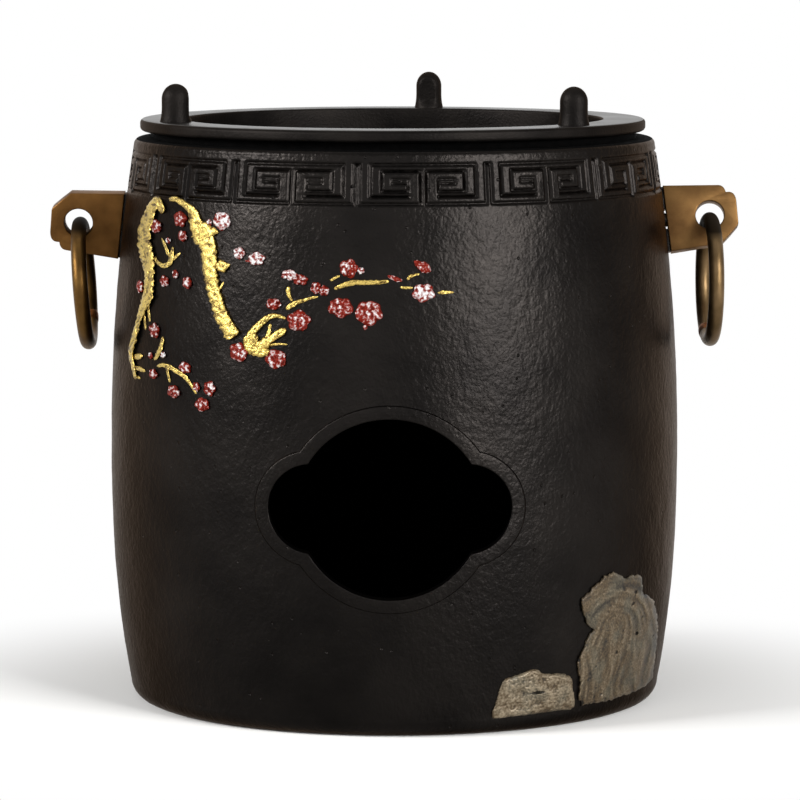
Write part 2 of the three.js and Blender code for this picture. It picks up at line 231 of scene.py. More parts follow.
def wall_points(offset, start, end, step):
    """Profile points that follow the barrel's outer curve at an offset."""
    heights = np.linspace(start, end, max(2, round(abs(end - start) / step) + 1))
    return [(float(outer_radius(h)) + offset, h) for h in heights]


def arc_points(centre, radius, start, end, steps):
    """Profile points on an arc between two angles in degrees."""
    angles = np.radians(np.linspace(start, end, steps + 1))
    return [(centre[0] + radius * math.cos(a), centre[1] + radius * math.sin(a)) for a in angles]


def grid_faces(rows, columns, start=0, close_rows=False, capped=False):
    """The quads between rings of points, stored ring by ring, and the two end faces if capped."""
    faces = []
    for i in range(rows if close_rows else rows - 1):
        below, above = start + i * columns, start + (i + 1) % rows * columns
        for j in range(columns):
            k = (j + 1) % columns
            faces.append((below + j, below + k, above + k, above + j))
    if capped:
        last = start + (rows - 1) * columns
        faces += [tuple(range(start, start + columns))[::-1], tuple(range(last, last + columns))]
    return faces


def full_turn(steps):
    """Angles all the way round, at equal steps."""
    return np.linspace(0, 2 * math.pi, steps, endpoint=False)


def turned(radius, angle, height):
    """Points at radii, angles and heights about the Z axis, row by row."""
    grids = np.broadcast_arrays(radius * np.cos(angle), radius * np.sin(angle), height)
    return np.stack(grids, -1).reshape(-1, 3)


def revolve(profile, sides):
    """The points of a profile turned round Z, row by row."""
    radius, height = np.array(profile).T[:, :, None]
    return turned(radius, full_turn(sides), height)


wave_width, wave_height = 8, 0.10
lump_width, lump_height = 2.4, 0.045


def cast_wave(points):
    """How far a sand-cast surface strays from true, in millimetres: slow waves and small lumps."""
    slow = [noise.noise(Vector(p) / wave_width) for p in points]
    lumps = [noise.noise(Vector(p) / lump_width) for p in points]
    return wave_height * np.array(slow) + lump_height * np.array(lumps)


def pushed_out(points, distance):
    """The points moved away from the Z axis."""
    reach = np.hypot(points[:, 0], points[:, 1])
    scale = (reach + distance) / np.maximum(reach, 1e-6)
    return points * np.stack([scale, scale, np.ones(len(points))], -1)


def closed_shell(mesh, weld=0.0):
    """The mesh with its faces turned to look out, and points nearer than the weld joined."""
    shell = bmesh.new()
    shell.from_mesh(mesh)
    if weld:
        bmesh.ops.remove_doubles(shell, verts=shell.verts, dist=weld)
    bmesh.ops.recalc_face_normals(shell, faces=shell.faces)
    shell.to_mesh(mesh)
    shell.free()
    return mesh


def make_mesh(name, points, faces):
    """A mesh from points in millimetres, its faces turned to look out."""
    mesh = bpy.data.meshes.new(name)
    mesh.from_pydata((np.asarray(points) * MM).tolist(), [], faces)
    return closed_shell(mesh)


def make_piece(name, mesh, material, sharp_angle=38):
    """An object of that mesh and material, smooth except at edges sharper than the angle."""
    mesh.materials.append(material)
    mesh.shade_smooth()
    mesh.set_sharp_from_angle(angle=math.radians(sharp_angle))
    piece = bpy.data.objects.new(name, mesh)
    scene.collection.objects.link(piece)
    return piece


# Sand-cast iron, blacked and oiled: a dark metal that shows a soft broken sheen over low ridges
# about 2 mm wide, a little upright, with finer grit between them and a few pinholes.
iron_black = "211f1e"
iron_worn = "2d2a28"
ridge_width = 1.8 * MM
grit_width = 0.8 * MM
stain_width = 26 * MM
pinhole_spacing = 6 * MM
cast_iron, add, place = start_material("sand_cast_iron_black")
upright = add("VectorMath", {0: place, 1: (1.0, 1.0, 0.8)}, operation="MULTIPLY")
stain = add("TexNoise", {"Vector": place, "Scale": 1 / stain_width, "Detail": 4.0})
colour = add("ValToRGB", {0: stain}, [(0.35, iron_black), (0.75, iron_worn)])
ridges = add("TexNoise", {"Vector": upright, "Scale": 1 / ridge_width, "Detail": 1.6,
                          "Roughness": 0.55})
grit = add("TexNoise", {"Vector": place, "Scale": 1 / grit_width, "Detail": 2.0})
cells = add("TexVoronoi", {"Vector": place, "Scale": 1 / pinhole_spacing})
holes = add("MapRange", {0: cells.outputs["Distance"], 1: 0.03, 2: 0.09})
gloss = add("MapRange", {0: grit, 1: 0.3, 2: 0.7, 3: 0.3, 4: 0.4})
deep = add("Bump", {"Height": holes, "Distance": 0.3 * MM})
low = add("Bump", {"Height": ridges, "Distance": 0.22 * MM, "Normal": deep})
fine = add("Bump", {"Height": grit, "Distance": 0.1 * MM, "Normal": low})
add("OutputMaterial", {"Surface": add("BsdfPrincipled", {
    "Base Color": colour, "Metallic": 1.0, "Roughness": gloss,
    "Specular Tint": linear("d4c9c1"), "Normal": fine})})

# Matt, nearly black iron: real soot on the iron inside, and painted shade on the shoulder under the
# pot ring, where the ring's shadow falls.
shade_edge_under_ring = 177.5
soot_and_shade_iron, add, place = start_material("cast_iron_matt_with_soot")
flakes = add("TexNoise", {"Vector": place, "Scale": 1 / ridge_width, "Detail": 4.0})
colour = add("ValToRGB", {0: flakes}, [(0.4, "030303"), (0.7, "080707")])
bump = add("Bump", {"Height": flakes, "Strength": 0.6, "Distance": 0.15 * MM})
add("OutputMaterial", {"Surface": add("BsdfPrincipled", {
    "Base Color": colour, "Roughness": 0.9, "Specular IOR Level": 0.05, "Normal": bump})})

foot_centre = float(outer_radius(foot_round)) - foot_round
shoulder_height = rim_height - rim_step
shoulder_start = shoulder_height - shoulder_round
shoulder_centre = float(outer_radius(shoulder_start)) - shoulder_round
floor_centre = float(outer_radius(floor_top + floor_round)) - wall - floor_round
shelf_underside = shelf_height - shelf_thickness
barrel_profile = [
    (centre_radius, foot_recess),
    (foot_centre - foot_width - foot_recess, foot_recess),
    (foot_centre - foot_width, 0),
    *arc_points((foot_centre, foot_round), foot_round, -90, 0, 12),
    *wall_points(0, foot_round, band_bottom, 0.75)[1:],
    *wall_points(-band_rebate, band_bottom, band_top, 4),
    *arc_points((shoulder_centre, shoulder_start), shoulder_round, 0, 90, 12),
    (mouth_radius + land_width, shoulder_height),
    (mouth_radius + land_width, rim_height),
    (mouth_radius + rim_chamfer, rim_height),
    (mouth_radius, rim_height - rim_chamfer),
    (mouth_radius, rim_height - mouth_depth),
    *wall_points(-wall, rim_height - mouth_depth - mouth_taper, shelf_height + seat_depth, 2),
    (seat_radius, shelf_height + seat_depth),
    (seat_radius, shelf_height),
    (shelf_radius, shelf_height),
    (shelf_radius, shelf_underside),
    *wall_points(-wall, shelf_underside - shelf_draft, floor_top + floor_round, 2),
    *arc_points((floor_centre, floor_top + floor_round), floor_round, 0, -90, 8)[1:],
    (centre_radius, floor_top),
]
barrel_points = revolve(barrel_profile, barrel_sides)
barrel_points = pushed_out(barrel_points, cast_wave(barrel_points))
barrel_faces = grid_faces(len(barrel_profile), barrel_sides, capped=True)
barrel_mesh = make_mesh("barrel", barrel_points, barrel_faces)

# Air door, four cusped lobes, cut in the casting and bordered by a raised flat lip.
door_height = 54.8
door_width = 73.6
door_centre = 70.4
top_lobe = 28.7
side_lobe = 13.6
lip_width = 4.1
lip_proud = 0.7
lip_overlap = 2
door_cut_start = 110.0
door_cut_length = 80


def cusped_outline(grow):
    """Points on the door's outline, or the lip's when grown: four arcs that meet in cusps."""
    top_radius, side_radius = top_lobe + grow, side_lobe + grow
    top_centre, side_centre = door_height / 2 - top_lobe, door_width / 2 - side_lobe
    span = math.hypot(side_centre, top_centre)
    along = (top_radius ** 2 - side_radius ** 2 + span ** 2) / (2 * span)
    across = math.sqrt(top_radius ** 2 - along ** 2)
    cusp_x = (along * side_centre + across * top_centre) / span
    cusp_z = top_centre + (-along * top_centre + across * side_centre) / span
    top_angle = math.degrees(math.atan2(cusp_z - top_centre, cusp_x))
    side_angle = math.degrees(math.atan2(cusp_z, cusp_x - side_centre))
    half = arc_points((side_centre, 0), side_radius, -side_angle, side_angle, 36)[:-1]
    half += arc_points((0, top_centre), top_radius, top_angle, 180 - top_angle, 64)[:-1]
    return [(turn * x, turn * z + door_centre) for turn in (1, -1) for x, z in half]


def drape(x, z, proud=0.0):
    """A point on the barrel's front, seen at x and z, at a height over the surface."""
    radius = outer_radius(z) + proud
    return np.stack([x, -np.sqrt(radius ** 2 - x ** 2), z], -1)


# Ears: the holes that their tenons pass through are drilled along the ears' own axes.
ear_overhang = 14.3
ear_heights = {"right": 152.8, "left": 151}
ear_tilt = math.radians(5)
ear_rolls = {"right": math.radians(-15.5), "left": math.radians(10.5)}
tenon_radius = 2.3
tenon_hole = 2.65
spot_radius = 6.5
spot_depth = 0.5
drill_sides = 48
drill_reach = 4
to_wall = ear_overhang / math.cos(ear_tilt)


def ear_reach(side):
    """How far the middle of an ear's hole is from the barrel's axis."""
    return float(outer_radius(ear_heights[side])) + ear_overhang


def ear_frame(side):
    """The ear's own frame: its origin in the hole's centre and X along the plate, outwards."""
    facing = 1 if side == "right" else -1
    turn = Matrix.Rotation(0 if side == "right" else math.pi, 4, "Z")
    tilt = Matrix.Rotation(-ear_tilt, 4, "Y")
    roll = Matrix.Rotation(facing * ear_rolls[side], 4, "X")
    return turn @ Matrix.Translation((ear_reach(side), 0, ear_heights[side])) @ tilt @ roll


def bar_along_x(stations, radii):
    """The points and faces of a bar along X, from its radii all round at each station."""
    points = turned(radii, full_turn(radii.shape[1]), stations[:, None])[:, [2, 0, 1]]
    return points, grid_faces(*radii.shape, capped=True)


def moved(points, matrix):
    """The points carried by a matrix."""
    return np.array([matrix @ Vector(p) for p in points])


cutters = []
outline = np.array(cusped_outline(lip_overlap))
front = np.stack([outline[:, 0], np.full(len(outline), -door_cut_start), outline[:, 1]], -1)
back = front + (0, door_cut_length, 0)
cutters.append((np.concatenate([front, back]), grid_faces(2, len(outline), capped=True)))
for side in ("left", "right"):
    outside = -to_wall
    inside = outside - wall / math.cos(ear_tilt)
    for radius, start, end in ((tenon_hole, inside - drill_reach, outside + drill_reach / 2),
                               (spot_radius, inside - drill_reach, inside - spot_depth)):
        points, faces = bar_along_x(np.array([start, end]), np.full((2, drill_sides), radius))
        cutters.append((moved(points, ear_frame(side)), faces))

barrel = make_piece("barrel", barrel_mesh, cast_iron)
for i, (points, faces) in enumerate(cutters):
    cutter = make_piece(f"cutter_{i}", make_mesh(f"cutter_{i}", points, faces), cast_iron)
    cut = barrel.modifiers.new(cutter.name, "BOOLEAN")
    cut.operation = "DIFFERENCE"
    cut.solver = "MANIFOLD"
    cut.object = cutter
bpy.context.view_layer.update()
ready = barrel.evaluated_get(bpy.context.evaluated_depsgraph_get())
cut_mesh = bpy.data.meshes.new_from_object(ready)
barrel.modifiers.clear()
barrel.data = cut_mesh
for cutter in [o for o in bpy.data.objects if o.name.startswith("cutter_")]:
    bpy.data.objects.remove(cutter)
cut_mesh.shade_smooth()
cut_mesh.set_sharp_from_angle(angle=math.radians(38))
centres = np.empty(3 * len(cut_mesh.polygons), dtype=np.float32)
cut_mesh.polygons.foreach_get("center", centres)
x, y, z = centres.reshape(-1, 3).T / MM
# Faces inside the barrel take the soot. Faces above the edge, on the shoulder and mouth under the
# pot ring, take the painted shade.
soot_and_shade_faces = (z > shade_edge_under_ring) | ((np.hypot(x, y) < outer_radius(z) - 2) & (z > floor_top - 1))
cut_mesh.materials.append(soot_and_shade_iron)
cut_mesh.polygons.foreach_set("material_index", soot_and_shade_faces.astype(np.int32))
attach(barrel, "stove")
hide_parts("stove_body")

# Door lip
# The raised border of the air door is cast in one with the barrel. It is a flat moulding 4 mm wide
# with rounded edges, and it follows the barrel's curve.
inner_round = 0.45
outer_round = 0.35
lip_section = [
    (0, -wall - 0.1), (0, -wall * 0.6), (0, -wall * 0.2),
    *arc_points((inner_round, lip_proud - inner_round), inner_round, 180, 90, 5),
    *arc_points((lip_width - outer_round, lip_proud - outer_round), outer_round, 90, 20, 5),
    (lip_width + 0.25, -0.3), (lip_overlap + 0.3, -0.8), (lip_overlap + 0.3, -wall - 0.1),
]
lip_rows = []
for grow, proud in lip_section:
    outline = np.array(cusped_outline(grow))
    lip_rows.append(drape(outline[:, 0], outline[:, 1], proud))
lip_points = np.concatenate(lip_rows)
lip_points = pushed_out(lip_points, cast_wave(lip_points))
lip_faces = grid_faces(len(lip_section), len(lip_rows[0]), close_rows=True)
door_lip = make_piece("door_lip", make_mesh("door_lip", lip_points, lip_faces), cast_iron, 55)
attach(door_lip, "stove")

# Fret band
# A traditional key fret cast round the barrel's shoulder, 13 units of two mirrored keys each. The
# keys are flat bands and the lines between them are shallow grooves with soft edges.
fret_units = 13
fret_first = math.radians(-90 - 6.9)
fret_base = 162
groove_half = 0.74
groove_depth = 0.7
fret_step = 0.26
band_sunk = 0.4
half_unit = math.pi * float(outer_radius(168)) / fret_units
key_lines = [
    [(0, 11.7), (16.1, 11.7), (16.1, 2.2), (4.6, 2.2)],
    [(0.9, 0), (0.9, 9.8), (12.6, 9.8), (12.6, 3.7), (4.6, 3.7), (4.6, 7.3), (9.3, 7.3)],
    [(5.0, 6.2), (9.3, 6.2)],
    [(0.9, 0), (half_unit - 0.9, 0), (half_unit - 0.9, 11.8), (half_unit, 11.8)],
]


def fret_depth(across, height):
    """How deep the fret's grooves are at a distance from a unit's middle and a height."""
    nearest = 9.0
    for line in key_lines:
        for (x0, z0), (x1, z1) in zip(line, line[1:]):
            dx, dz = x1 - x0, z1 - z0
            share = ((across - x0) * dx + (height - z0) * dz) / (dx * dx + dz * dz)
            share = np.clip(share, 0, 1)
            gap = np.hypot(across - x0 - share * dx, height - z0 - share * dz)
            nearest = np.minimum(nearest, gap)
    return groove_depth * np.clip(1.04 - nearest / groove_half, 0, 1)


unit_columns = round(2 * half_unit / fret_step)
columns = np.arange(fret_units * unit_columns)
turn = fret_first + columns / len(columns) * 2 * math.pi
across = np.abs((columns % unit_columns) / unit_columns * 2 * half_unit - half_unit)
band_rows = round((band_top - band_bottom) / fret_step) + 1
heights = np.linspace(band_bottom, band_top, band_rows)[:, None]
band_front = turned(outer_radius(heights) - fret_depth(across, heights - fret_base), turn, heights)
band_front = pushed_out(band_front, cast_wave(band_front))
back_heights = heights[[-1, 0]]
band_back = turned(outer_radius(back_heights) - band_rebate - band_sunk, turn, back_heights)
band_points = np.concatenate([band_front, band_back])
band_faces = grid_faces(band_rows + 2, len(columns), close_rows=True)
fret_band = make_piece("fret_band", make_mesh("fret_band", band_points, band_faces), cast_iron, 60)
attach(fret_band, "stove")


# Plum branches
# The branches are cast in low relief on the barrel's left front and painted with gold. Their bark
# is rough, so the gold is bright on its ridges and dull between them.
def smooth_line(points, step):
    """A Catmull-Rom curve through points, at about equal steps."""
    points = [np.array(p, float) for p in points]
    padded = [2 * points[0] - points[1], *points, 2 * points[-1] - points[-2]]
    line = []
    for a, b, c, d in zip(padded, padded[1:], padded[2:], padded[3:]):
        pieces = max(2, round(float(np.hypot(*(c - b)[:2])) / step))
        for t in np.arange(pieces) / pieces:
            line.append(0.5 * (2 * b + (c - a) * t + (2 * a - 5 * b + 4 * c - d) * t ** 2
                               + (3 * b - 3 * c + d - a) * t ** 3))
    return np.array([*line, points[-1]])


bark_step = 0.3
sunk = 0.35


def add_branch(store, line, height, blunt=False):
    """A branch along [x, z, width] points: a rounded ridge with rough bark, closed underneath."""
    line = smooth_line(line, bark_step)
    lengths = np.concatenate([[0], np.cumsum(np.hypot(*np.diff(line[:, :2], axis=0).T))])
    along = np.gradient(line[:, :2], axis=0)
    normal = np.stack([along[:, 1], -along[:, 0]], -1)
    normal /= np.hypot(*normal.T)[:, None]
    half = line[:, 2] / 2
    from_end = np.minimum(lengths, lengths[-1] - lengths)
    tip = 0.25 if blunt else 1.0
    half = half * np.sqrt(np.clip(from_end / (half * tip) + 0.04, 0.04, 1))
    columns = 13
    start = len(store["points"])
    for i, place in enumerate(line):
        for t in np.linspace(-1, 1, columns):
            ragged = 1 + 0.3 * noise.noise((lengths[i] / 0.9, math.copysign(2, t), start / 7))
            x, z = place[:2] + normal[i] * half[i] * t * ragged
            dome = math.sqrt(max(0.0, 1 - abs(t) ** 5))
            bark = noise.noise((lengths[i] / 1.6, t * 1.7 + place[0], 3.1 + place[1] / 9))
            grain = noise.noise((x / 0.5, z / 0.5, 7.7))
            rise = height * min(1, half[i] / 1.1) * dome * (1 + 0.24 * bark + 0.12 * grain)
            proud = rise if abs(t) < 1 else -sunk
            store["points"].append(drape(x, z, proud))
            store["relief"].append(0.6 + 0.6 * bark + 0.5 * grain if abs(t) < 1 else 0.1)
    last = start + (len(line) - 1) * columns
    store["faces"] += grid_faces(len(line), columns, start)
    store["faces"].append(tuple(range(start, start + columns)))
    store["faces"].append(tuple(range(last, last + columns))[::-1])


def finish_relief(name, store, material, sharp_angle=60):
    """The gathered relief as a piece, with how raised each point is kept for its material."""
    mesh = make_mesh(name, store["points"], store["faces"])
    kept = mesh.attributes.new("relief", "FLOAT", "POINT")
    kept.data.foreach_set("value", np.array(store["relief"], dtype=np.float32))
    return make_piece(name, mesh, material, sharp_angle)


# Gold paint over rough iron: a metallic paint under a thin varnish, olive where it is thin in the
# hollows and cream where the varnish catches the light.
gold_bright = "e2c468"
gold_deep = "5e450e"
leaf_grain = 0.6 * MM
gold_paint, add, place = start_material("brushed_gold_paint")
raised = add("Attribute", attribute_name="relief").outputs["Fac"]
fleck = add("TexNoise", {"Vector": place, "Scale": 1 / leaf_grain, "Detail": 3.0})
both = add("Math", {0: raised, 1: fleck}, operation="ADD")
raised_tone = add("MapRange", {0: both, 1: 0.5, 2: 1.5})
colour = add("ValToRGB", {0: raised_tone}, [(0.2, gold_deep), (0.66, gold_bright)])
rough = add("MapRange", {0: fleck, 1: 0.3, 2: 0.7, 3: 0.26, 4: 0.42})
bump = add("Bump", {"Height": fleck, "Distance": 0.22 * MM})
add("OutputMaterial", {"Surface": add("BsdfPrincipled", {
    "Base Color": colour, "Metallic": 0.85, "Roughness": rough, "Coat Weight": 0.35,
    "Coat Roughness": 0.28, "Normal": bump, "Coat Normal": bump})})

branches = defaultdict(list)
trunk_relief = 1.1
twig_relief = 0.7
# How far each branch stands out, and its points: across, up and how wide it is there.
branch_lines = [
    (trunk_relief, (-68.4, 161.2, 1.2), (-66.1, 161.5, 1.8), (-64, 160.6, 2.1),
     (-61.8, 159.3, 2.6), (-60.4, 157.7, 3.6), (-59.3, 154.5, 5), (-57.5, 152.2, 7.6),
     (-57, 150.7, 7.3), (-55.4, 148, 5.5), (-55.1, 145, 5.3), (-55.1, 141.7, 4.8),
     (-54.4, 138, 4.7), (-53.7, 134.6, 4.6), (-52.5, 131, 4.5), (-51.2, 127.3, 4.8),
     (-49.5, 124.5, 5), (-47.2, 121.2, 5.4)),
    (1, (-53.5, 142.3, 2.2), (-51.5, 142.3, 4.2), (-50.2, 142.6, 3.4), (-48.5, 143, 0.6)),
    (twig_relief, (-52.4, 134.9, 0.9), (-51.2, 136.4, 0.8), (-50.5, 137.7, 0.4)),
    (0.9, (-55, 152.4, 3.4), (-53.5, 152.6, 2.6), (-52.2, 152.2, 0.8)),
    (trunk_relief, (-70.8, 156.6, 1.6), (-71, 159, 3), (-72.8, 159.8, 3.8), (-74.4, 157.4, 3.9),
     (-75.7, 154, 4.3), (-76.6, 150.8, 4.8), (-76.6, 146.8, 5.3), (-75.3, 141.8, 5.2),
     (-74.8, 138, 3.9), (-74.9, 134, 3.8), (-75.5, 130.3, 3.8), (-77, 127.2, 2.8), (-78.2, 124, 2),
     (-79, 121.5, 1.9), (-80, 117.6, 2.4), (-81, 114.5, 2.1), (-81, 111, 1.9), (-80.2, 108, 1.5),
     (-79.5, 104.8, 1.3)),
    (twig_relief, (-75.5, 131, 1.8), (-75.2, 127.5, 1.3), (-74.5, 123.3, 0.6)),
    (twig_relief, (-76.8, 127, 1.2), (-76.5, 124, 1), (-76, 120.5, 0.5)),
    (twig_relief, (-80.4, 111.5, 1.4), (-78.6, 112, 2), (-77, 112.6, 1.2)),
    (twig_relief, (-80.4, 108.3, 1.3), (-78, 108.3, 1.5), (-76.1, 107.9, 1)),
    (twig_relief, (-79.6, 105.8, 1), (-77.7, 105.4, 0.8)),
    (twig_relief, (-73.4, 143.4, 1.1), (-71.8, 141.6, 1.5), (-69.8, 141, 1.6), (-68, 142, 1.7),
     (-67.3, 144.2, 1.6), (-66.9, 147, 0.8)),
    (twig_relief, (-68.2, 144, 1.2), (-69.3, 146.6, 1.2), (-70.7, 149.3, 0.6)),
    (twig_relief, (-67.4, 142.8, 1.1), (-65.8, 144.2, 1.1), (-64.4, 145.4, 0.6)),
    (twig_relief, (-70.2, 119.4, 1), (-70.5, 117.2, 1.4), (-71.5, 114.3, 1.5), (-73, 111.8, 1.2)),
    (twig_relief, (-72.2, 110.2, 1), (-69.5, 110.6, 1.6), (-66.6, 109.8, 1.7), (-63.3, 108.2, 1.6),
     (-61.2, 106, 1.2), (-59.2, 103, 0.6)),
    (twig_relief, (-68.9, 110.3, 1), (-68.3, 107.8, 0.9), (-67.8, 105.6, 0.6)),
    (0.9, (-44.2, 119.4, 2.4), (-42.3, 122, 2.6), (-40, 124.8, 2.2), (-37.4, 127.2, 1.9),
     (-34.7, 128.3, 1.6), (-31.2, 127.6, 0.9)),
    (1, (-44.3, 119.6, 2.4), (-41.6, 117.8, 3.4), (-38.9, 117.1, 3.2), (-36.2, 117.9, 2.4)),
    (0.95, (-42.8, 119, 3.2), (-41.4, 120.8, 3.6), (-40.2, 122.4, 1.8)),
    (0.95, (-40.3, 118.4, 3), (-37.6, 120.1, 3.4), (-35.8, 121.5, 2)),
    (twig_relief, (-38.3, 119.4, 1.2), (-36.8, 122.1, 1.3), (-36, 125.8, 0.9)),
    (0.9, (-39.3, 118.6, 2), (-35.4, 121.6, 2.4), (-33.1, 123.2, 2.3), (-31.2, 124.4, 1.9)),
    (twig_relief, (-36.4, 119.3, 1.1), (-33.6, 119.8, 0.8), (-30.8, 119.8, 0.5)),
    (twig_relief, (-31.3, 130.3, 1.5), (-29, 131.9, 1.6), (-26.3, 133, 1.2), (-24, 133.8, 1),
     (-21.5, 134.4, 0.6)),
    (twig_relief, (-30.5, 137.2, 1.5), (-30.5, 134.9, 1.3), (-29.3, 132.7, 1)),
    (twig_relief, (-17.9, 139.1, 0.7), (-16.4, 140, 0.9), (-14.9, 140.8, 0.6)),
    (twig_relief, (-16.7, 136.8, 1), (-13.5, 138, 1.7), (-10.9, 138.7, 1.8), (-7.5, 138.8, 1.6),
     (-4.2, 138.8, 1.6), (-0.2, 139.2, 1)),
    (twig_relief, (5.2, 139.6, 0.9), (6.6, 140.8, 1.1), (9, 141.4, 0.6)),
    (twig_relief, (3.2, 137.4, 0.7), (4.9, 137.2, 1), (7, 137.2, 0.6)),
    (twig_relief, (14.4, 135.7, 0.9), (16.8, 135.8, 1.2), (19.3, 135.7, 0.5)),
]
blunt_branches = (0, 18, 19)
for i, (relief, *line) in enumerate(branch_lines):
    add_branch(branches, line, relief, blunt=i in blunt_branches)
plum_branches = finish_relief("plum_branches", branches, gold_paint)
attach(plum_branches, "stove")

# Plum blossoms
# Small five-petalled flowers cast with the branches, each with its own crumple, and dabbed with a
# red paint. Its colour carries painted highlight and shade: pink on the raised petals, deep red in
# the folds.
blossom_seed = 20
petals = 5
dome_height = 1.25
flowers = random.Random(blossom_seed)


def add_blossom(store, x, z, width, height, pink=0.0):
    """A domed flower with petals, folds and a small heart, closed underneath."""
    rings, around = 11, 40
    spin = flowers.uniform(0, 2 * math.pi)
    key = flowers.uniform(0, 50)
    rise = dome_height * min(1.0, 0.45 + 0.11 * min(width, height))
    start = len(store["points"])
    for ring in range(rings + 1):
        share = 1 - ring / (rings + 1)
        for step in range(around):
            angle = 2 * math.pi * step / around
            lobe = abs(math.cos(petals / 2 * (angle + spin)))
            ragged = noise.noise((math.cos(angle) * 2.6, math.sin(angle) * 2.6, key))
            edge = 0.86 + 0.14 * lobe + 0.13 * ragged
            px = x + width / 2 * edge * share * math.cos(angle)
            pz = z + height / 2 * edge * share * math.sin(angle)
            bowl = math.sqrt(max(0.0, 1 - share ** 3)) - 0.30 * math.exp(-(share / 0.3) ** 2)
            fold = noise.noise((px / 0.85, pz / 0.85, key))
            fold += 0.5 * noise.noise((px / 0.4, pz / 0.4, key))
            valley = (1 - lobe) * share * 0.45
            proud = rise * (bowl - valley) + 0.34 * fold * (1 - share ** 4)
            if ring == 0:
                proud = -sunk
            store["points"].append(drape(px, pz, max(proud, -sunk)))
            # Painted highlight and shade: a point is painted pinker the higher it is raised. Buds
            # are pinker all over.
            tone = pink + 0.42 + 0.75 * fold + 0.25 * (bowl - valley)
            store["relief"].append(tone if ring else 0.0)
    store["faces"] += grid_faces(rings + 1, around, start, capped=True)


red_painted_shade = "480c06"
red_full = "8e2414"
red_painted_highlight = "b4584c"
dab_width = 0.6 * MM
plum_red, add, place = start_material("dabbed_red_paint")
raised = add("Attribute", attribute_name="relief").outputs["Fac"]
dab = add("TexNoise", {"Vector": place, "Scale": 1 / dab_width, "Detail": 3.0})
both = add("Math", {0: raised, 1: dab}, operation="ADD")
raised_tone = add("MapRange", {0: both, 1: 0.3, 2: 1.7})
# The deep red is painted shade in the folds and the pink is a painted highlight on the raised
# petals.
colour = add("ValToRGB", {0: raised_tone}, [(0.2, red_painted_shade), (0.6, red_full), (1.0, red_painted_highlight)])
bump = add("Bump", {"Height": dab, "Distance": 0.22 * MM})
add("OutputMaterial", {"Surface": add("BsdfPrincipled", {
    "Base Color": colour, "Metallic": 0.1, "Roughness": 0.36, "IOR": 1.5,
    "Specular IOR Level": 0.12, "Normal": bump})})

blossoms = defaultdict(list)
# Each flower: across, up, width and height. The pinker ones are mostly buds.
blossom_places = [
    (-72.7, 152.6, 4.2, 4.5), (-64.5, 155.6, 4.7, 5.2), (-63.7, 150.5, 3.3, 3.8),
    (-69.7, 136.3, 3.4, 3.7), (-66.1, 138.8, 2.2, 3), (-62.2, 136.5, 3.5, 4),
    (-78.1, 133.5, 2.8, 4.3), (-73, 120.9, 3.8, 5.2), (-73.4, 107.5, 3.2, 3.4),
    (-62.9, 110.7, 4.5, 3.8), (-59.2, 105.2, 2.6, 3.2), (-55, 105.1, 4.2, 4.8),
    (-57.4, 100, 5, 4.6), (-66.6, 103, 4.4, 4.2), (-45.8, 116.8, 6.4, 6.3),
    (-34.4, 115.3, 7.2, 6.3), (-27.4, 126.9, 7.3, 7), (-35.1, 131.7, 5, 3.8),
    (-14.7, 131.2, 8, 6.3), (-6.3, 129.7, 9, 7.9), (-22.1, 136.9, 3.6, 3.9),
    (-19.7, 136.2, 3.4, 3.6), (-12.2, 143, 6, 6.2), (-26.9, 139.2, 5, 3.5),
]
pink_places = [
    (-68.5, 148.7, 1.9, 2), (-55.2, 155.2, 2, 2.2), (-51.2, 155.9, 6, 6),
    (-45.7, 146.5, 3.9, 4), (-40.3, 145, 5.2, 4.5), (-30.3, 140.6, 5.2, 3.5),
    (-74.3, 113, 1.9, 2.2), (-70.1, 113.8, 1.9, 2.2), (-8.7, 142.3, 2.5, 2.2),
    (10.1, 135.7, 7.3, 6),
]
for spot in blossom_places:
    add_blossom(blossoms, *spot)
for spot in pink_places:
    add_blossom(blossoms, *spot, pink=0.3)
plum_blossoms = finish_relief("plum_blossoms", blossoms, plum_red, 70)
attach(plum_blossoms, "stove")

red_stems = defaultdict(list)
stem_lines = [
    (0.6, (-43.9, 144.3, 0.5), (-42.8, 144.3, 0.8), (-41.6, 144.7, 1.2)),
    (0.6, (-0.6, 140.8, 0.8), (1.6, 139.9, 1.6), (3.8, 139.3, 0.8)),
    (0.8, (7.3, 145.2, 1.4), (8.8, 144.2, 2.4), (10.6, 143.1, 3.3), (12.3, 142.1, 2.2)),
    (0.6, (-7, 126.4, 1), (-7.3, 125.4, 1.4), (-7.5, 124.6, 0.8)),
]
for relief, *line in stem_lines:
    add_branch(red_stems, line, relief)
plum_stems = finish_relief("plum_bud_stems", red_stems, plum_red, 70)
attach(plum_stems, "stove")

# Garden rocks
# Two rocks cast in relief low on the right front. The large one has long flow lines, the small one
# is a rough lump. Both are rubbed with a stone-coloured metallic paint.
rock_rings = 46
rock_edge_step = 0.45


def add_rock(store, outline, centre, relief_at):
    """A raised patch inside an outline, from its edge to its centre, closed underneath."""
    edge = smooth_line([*outline, outline[0]], rock_edge_step)[:-1]
    chips = np.array([noise.noise((x / 0.8, z / 0.8, 3.3)) for x, z in edge])
    edge = np.array(centre) + (edge - centre) * (1 + 0.035 * chips)[:, None]
    start = len(store["points"])
    for ring in range(rock_rings + 1):
        share = 1 - (ring / (rock_rings + 1)) ** 1.25
        for corner in edge:
            x, z = np.array(centre) + (corner - centre) * share
            from_edge = float(np.hypot(*(corner - centre))) * (1 - share)
            rise, tone = relief_at(float(x), float(z))
            proud = rise * (1 - math.exp(-from_edge / 0.45)) if ring else -sunk
            store["points"].append(drape(x, z, proud))
            store["relief"].append(tone)
    store["faces"] += grid_faces(rock_rings + 1, len(edge), start, capped=True)


